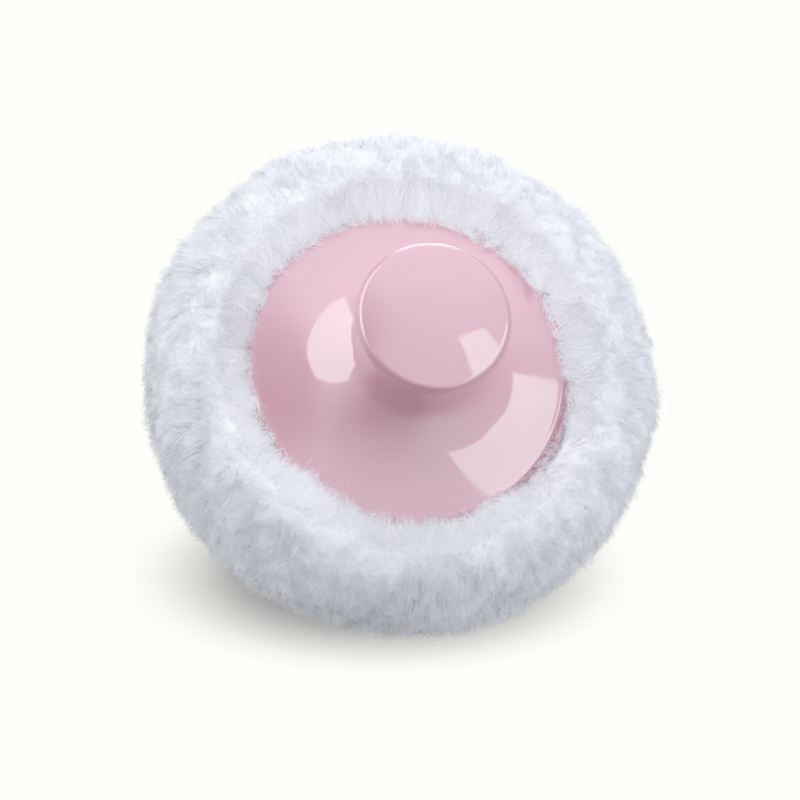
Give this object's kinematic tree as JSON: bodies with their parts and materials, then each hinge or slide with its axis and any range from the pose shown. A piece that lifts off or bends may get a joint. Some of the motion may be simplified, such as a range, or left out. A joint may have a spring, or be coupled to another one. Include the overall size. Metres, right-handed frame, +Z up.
{
  "type": "powder puff",
  "caption": "Round plush powder puff with a glossy flared handle and a flat mushroom knob for the fingers; the soft pile gives when it is pressed on the skin.",
  "frame": {"origin": "on the surface that the puff rests on, under the middle of the pad", "axes": "+Z up along the axis of the pad, the neck and the knob; X and Y are any two directions across"},
  "size_m": [0.09, 0.09, 0.0547],
  "materials": {
    "pink_abs": "polished moulding, pale pink",
    "natural_polypropylene": "fine satin moulding, natural white",
    "white_foam": "open-cell upholstery foam, off white",
    "white_knit": "knitted plush ground, white",
    "white_thread": "twisted polyester thread, white",
    "hot_melt_glue": "set hot-melt glue, pale amber",
    "white_pile": "long soft plush pile, cool white"
  },
  "bodies": {
    "pad": {"pile": "white_pile"},
    "handle": {"handle_shell": "pink_abs", "knob_cap": "pink_abs", "base_plate": "natural_polypropylene", "foam_core": "white_foam", "backing_cloth": "white_knit", "gathering_thread": "white_thread", "glue_ring": "hot_melt_glue"}
  },
  "joints": [
    {"name": "press", "type": "slide", "parent": "pad", "child": "handle", "axis": [0, 0, -1], "range_m": [0, 0.006], "stiffness_N_per_m": 400, "springref_m": -0.002, "deforming": ["pile"]}
  ]
}
